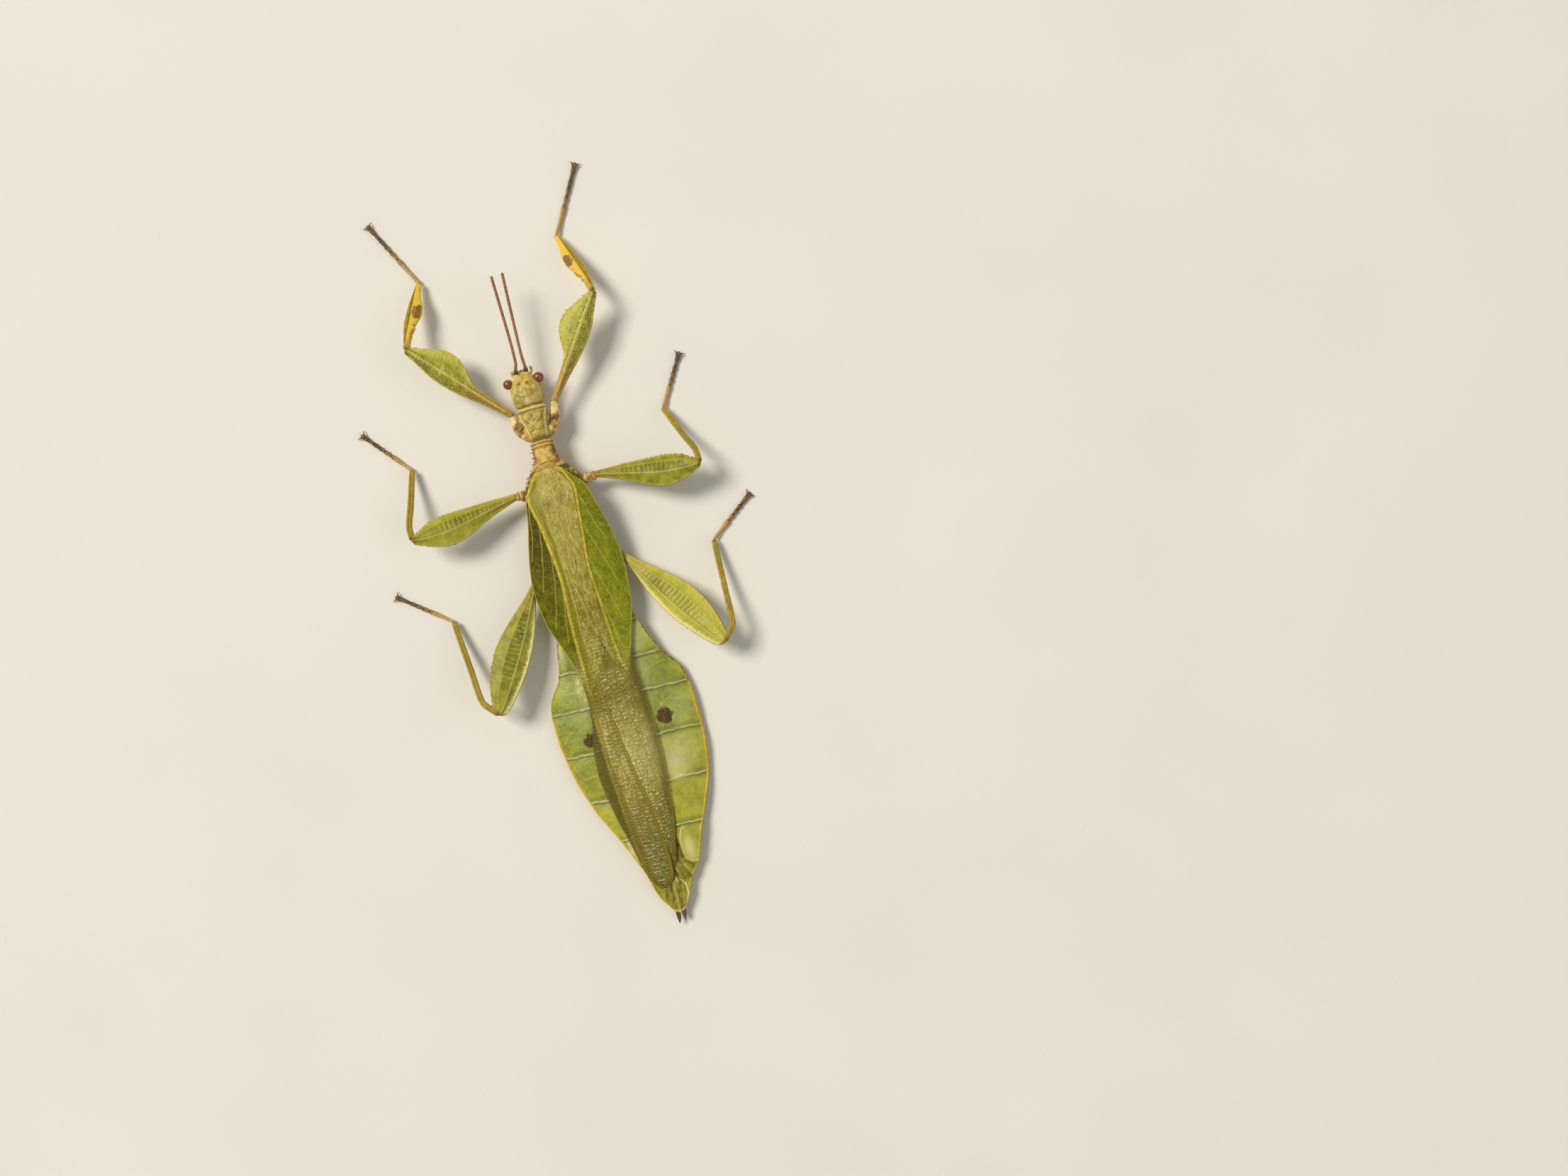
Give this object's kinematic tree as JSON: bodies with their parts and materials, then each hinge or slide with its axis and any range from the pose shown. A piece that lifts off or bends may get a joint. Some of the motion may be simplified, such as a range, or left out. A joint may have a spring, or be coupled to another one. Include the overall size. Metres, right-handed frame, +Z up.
{
  "type": "leaf insect",
  "caption": "Life-size male leaf insect standing with its wings folded over a broad leaf-shaped abdomen and its lobed legs spread.",
  "frame": {"origin": "middle of the insect's box seen from above, on the floor that it stands on", "axes": "+Y from the abdomen towards the head, +X to the insect's right, +Z up"},
  "size_m": [0.0454, 0.091, 0.0055],
  "materials": {
    "head_green": "matt olive green cuticle, finely pitted, satin on the raised parts",
    "eye_brown": "glossy red-brown compound eye",
    "antenna_brown": "satin brown, paler between the joints",
    "thorax_tan": "tan to olive cuticle with knobs and pits, satin",
    "abdomen_green": "leaf green skin, yellow-orange and brown at the rim, satin",
    "wing_green": "leathery green forewing with yellow veins, satin",
    "wing_membrane": "thin clear membrane with pale and brown veins, glossy",
    "thigh_green": "yellow-green lobes with yellow rims and fine wrinkles, satin",
    "shin_yellow": "yellow-olive with brown spots, satin",
    "foot_brown": "tan to dark brown, satin"
  },
  "bodies": {
    "root": {"head": "head_green", "eye_left": "eye_brown", "eye_right": "eye_brown", "antenna_left": "antenna_brown", "antenna_right": "antenna_brown", "prothorax": "thorax_tan", "mesothorax": "thorax_tan", "metathorax": "thorax_tan", "abdomen": "abdomen_green", "cercus_left": "abdomen_green", "cercus_right": "abdomen_green", "forewing_left": "wing_green", "forewing_right": "wing_green", "hindwing_left": "wing_membrane", "hindwing_right": "wing_membrane", "coxa_front_left": "thorax_tan", "coxa_front_right": "thorax_tan", "coxa_middle_left": "thorax_tan", "coxa_middle_right": "thorax_tan", "coxa_hind_left": "thorax_tan", "coxa_hind_right": "thorax_tan", "femur_front_left": "thigh_green", "femur_front_right": "thigh_green", "femur_middle_left": "thigh_green", "femur_middle_right": "thigh_green", "femur_hind_left": "thigh_green", "femur_hind_right": "thigh_green", "tibia_front_left": "shin_yellow", "tibia_front_right": "shin_yellow", "tibia_middle_left": "shin_yellow", "tibia_middle_right": "shin_yellow", "tibia_hind_left": "shin_yellow", "tibia_hind_right": "shin_yellow", "tarsus_front_left": "foot_brown", "tarsus_front_right": "foot_brown", "tarsus_middle_left": "foot_brown", "tarsus_middle_right": "foot_brown", "tarsus_hind_left": "foot_brown", "tarsus_hind_right": "foot_brown"}
  },
  "joints": []
}
